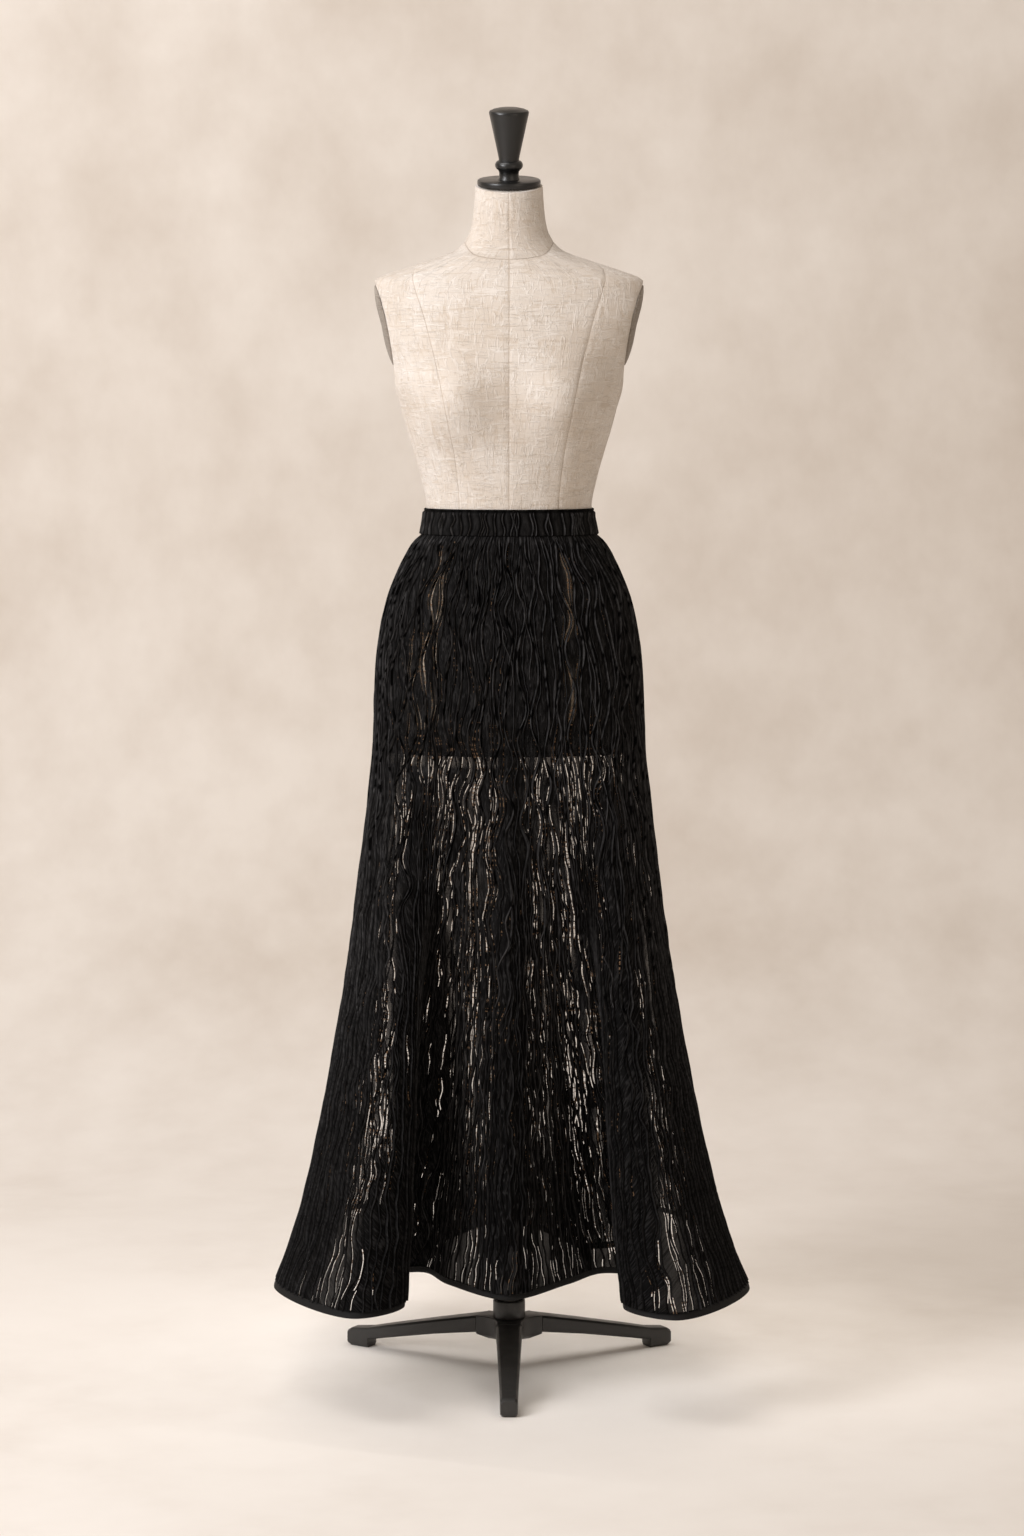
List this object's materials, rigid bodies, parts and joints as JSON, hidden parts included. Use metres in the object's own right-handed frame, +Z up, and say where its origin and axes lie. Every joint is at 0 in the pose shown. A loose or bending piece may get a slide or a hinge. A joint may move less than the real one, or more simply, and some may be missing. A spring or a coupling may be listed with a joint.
{
  "type": "flared floor-length lace skirt on a dress form",
  "caption": "Flared floor-length lace skirt with a plain waistband and deep hem flutes, shown on a limbless linen dress form with a tripod stand.",
  "frame": {"origin": "on the floor under the pole's axis, at the middle of the part", "axes": "+Z up from the feet to the finial, +X to the viewer's right, -Y towards the viewer, which is the form's front"},
  "size_m": [0.6679, 0.6861, 1.799],
  "materials": {
    "lace": "matt crinkled lace with raised cords and slits",
    "lining": "plain opaque lining, slight sheen",
    "binding": "plain folded binding, matt",
    "linen": "raw slubby linen, matt",
    "plate_linen": "darker linen, matt",
    "lacquer": "satin black lacquer on turned wood",
    "powder_coat": "matt black powder coat"
  },
  "bodies": {
    "root": {"skirt_front": "lace", "skirt_back": "lace", "waistband": "lace", "lining": "lining", "hem_binding": "binding", "form_torso": "linen", "arm_plate_left": "plate_linen", "arm_plate_right": "plate_linen", "neck_disc": "lacquer", "finial": "lacquer", "pole": "powder_coat", "collar": "powder_coat", "hub": "powder_coat", "leg_front": "powder_coat", "leg_left": "powder_coat", "leg_right": "powder_coat"}
  },
  "joints": []
}
